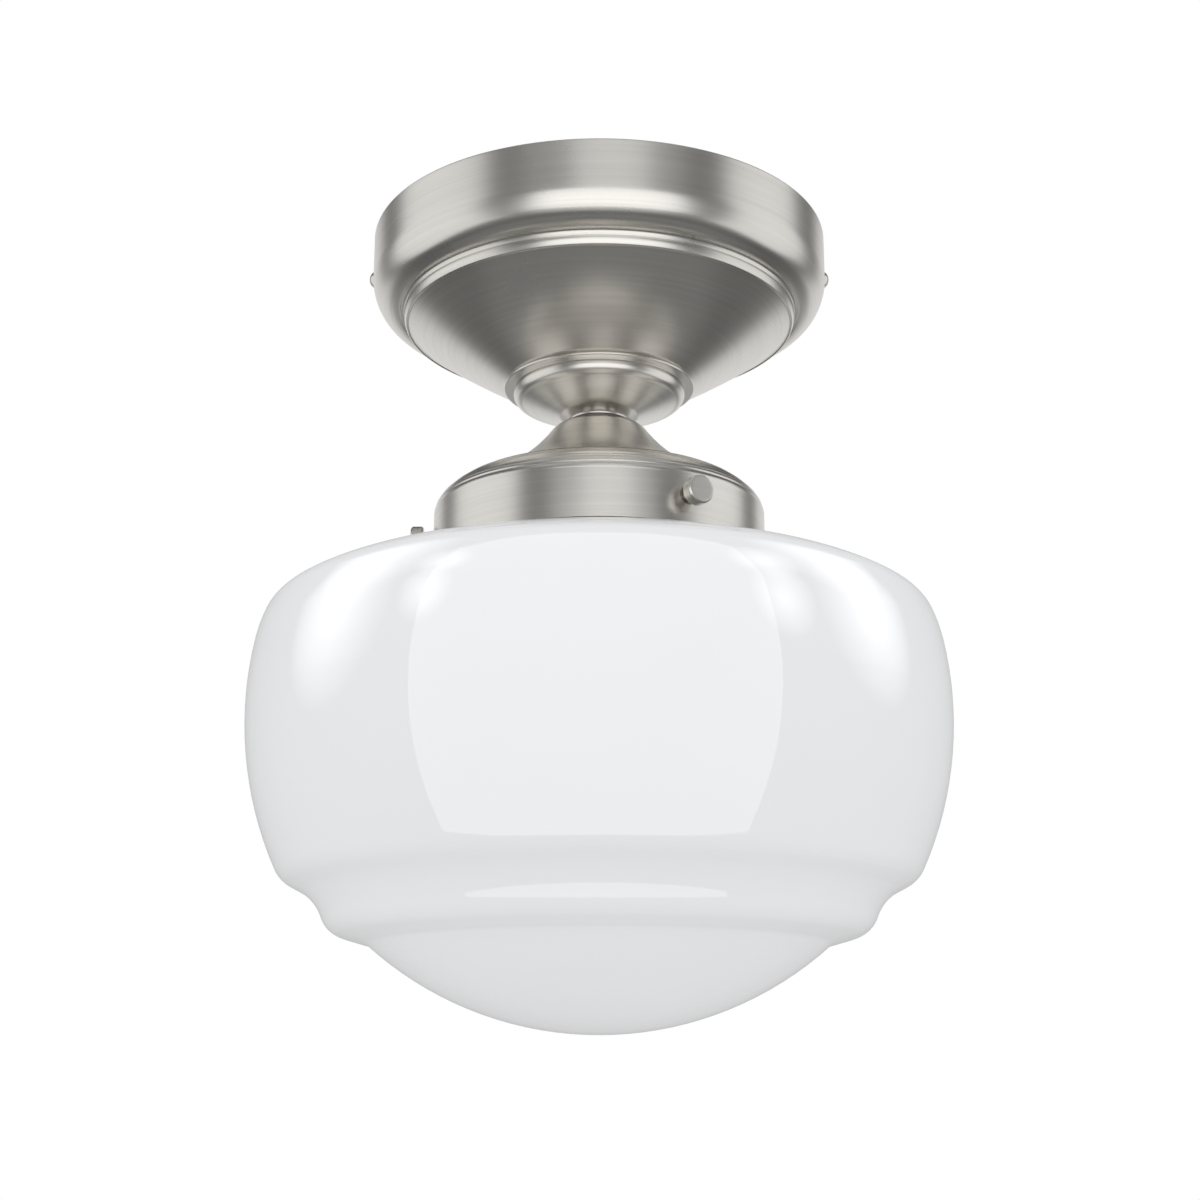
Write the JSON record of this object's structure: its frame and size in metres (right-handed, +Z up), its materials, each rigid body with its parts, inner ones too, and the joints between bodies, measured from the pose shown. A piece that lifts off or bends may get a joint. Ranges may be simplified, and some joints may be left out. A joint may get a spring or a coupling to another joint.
{
  "type": "semi-flush ceiling light",
  "caption": "Semi-flush ceiling light: round brushed nickel canopy, short bell neck and shade holder with thumbscrews, carrying a stepped white opal glass drum shade over a lamp socket.",
  "frame": {"origin": "middle of the ceiling plane, on the top face of the mounting bracket, level with the canopy's rim", "axes": "+Z up out of the ceiling along the light's axis, X along the mounting bracket and the canopy side screws, -Y the front with one thumbscrew on its right"},
  "size_m": [0.2218, 0.2218, 0.261],
  "materials": {
    "nickel": "brushed nickel plate, lines running round the turned form",
    "zinc": "bright zinc plate",
    "brass": "plain brass",
    "green_steel": "green coated steel",
    "tinned_copper": "tinned copper",
    "porcelain": "glazed white porcelain",
    "opal_glass": "glossy white opal glass",
    "black_insulation": "black wire insulation",
    "white_insulation": "white wire insulation",
    "green_insulation": "green wire insulation",
    "connector_plastic": "orange moulded plastic",
    "frosted_glass": "frosted white bulb glass",
    "bulb_cap_metal": "bright rolled cap",
    "black_glass": "black glass insulator"
  },
  "bodies": {
    "fixture": {"mounting_bracket": "zinc", "ground_screw": "green_steel", "ground_terminal": "tinned_copper", "canopy_shell": "nickel", "stem_cup": "nickel", "neck_collar": "nickel", "neck_bell": "nickel", "shade_holder": "nickel", "thumbscrew_bushes": "brass", "hollow_stem": "zinc", "upper_washer": "zinc", "upper_nut": "zinc", "lower_washer": "zinc", "lower_nut": "zinc", "socket_strap": "zinc", "socket_body": "porcelain", "socket_screws": "zinc", "socket_shell": "brass", "socket_contact": "brass", "live_lead": "black_insulation", "neutral_lead": "white_insulation", "ground_lead": "green_insulation", "wire_connectors": "connector_plastic"},
    "canopy_screw_right": {"canopy_screw_right": "nickel"},
    "canopy_screw_left": {"canopy_screw_left": "nickel"},
    "shade": {"glass_shade": "opal_glass"},
    "bulb": {"bulb_globe": "frosted_glass", "bulb_cap": "bulb_cap_metal", "bulb_insulator": "black_glass", "bulb_contact": "brass"},
    "thumbscrew_1": {"thumbscrew_1": "nickel"},
    "thumbscrew_2": {"thumbscrew_2": "nickel"},
    "thumbscrew_3": {"thumbscrew_3": "nickel"}
  },
  "joints": [
    {"name": "canopy_screw_right_out", "type": "slide", "parent": "fixture", "child": "canopy_screw_right", "axis": [1, 0, 0], "range_m": [0, 0.009]},
    {"name": "canopy_screw_left_out", "type": "slide", "parent": "fixture", "child": "canopy_screw_left", "axis": [-1, 0, 0], "range_m": [0, 0.009]},
    {"name": "shade_drop", "type": "slide", "parent": "fixture", "child": "shade", "axis": [0, 0, -1], "range_m": [0, 0.02]},
    {"name": "bulb_out", "type": "slide", "parent": "fixture", "child": "bulb", "axis": [0, 0, -1], "range_m": [0, 0.024]},
    {"name": "thumbscrew_1_out", "type": "slide", "parent": "fixture", "child": "thumbscrew_1", "axis": [0.5, -0.866, 0], "range_m": [0, 0.0045]},
    {"name": "thumbscrew_2_out", "type": "slide", "parent": "fixture", "child": "thumbscrew_2", "axis": [0.5, 0.866, 0], "range_m": [0, 0.0045]},
    {"name": "thumbscrew_3_out", "type": "slide", "parent": "fixture", "child": "thumbscrew_3", "axis": [-1, 0, 0], "range_m": [0, 0.0045]}
  ],
  "couplings": [
    {"joint": "thumbscrew_1_out", "follows": "shade_drop", "ratio": 0.22},
    {"joint": "thumbscrew_2_out", "follows": "shade_drop", "ratio": 0.22},
    {"joint": "thumbscrew_3_out", "follows": "shade_drop", "ratio": 0.22}
  ]
}
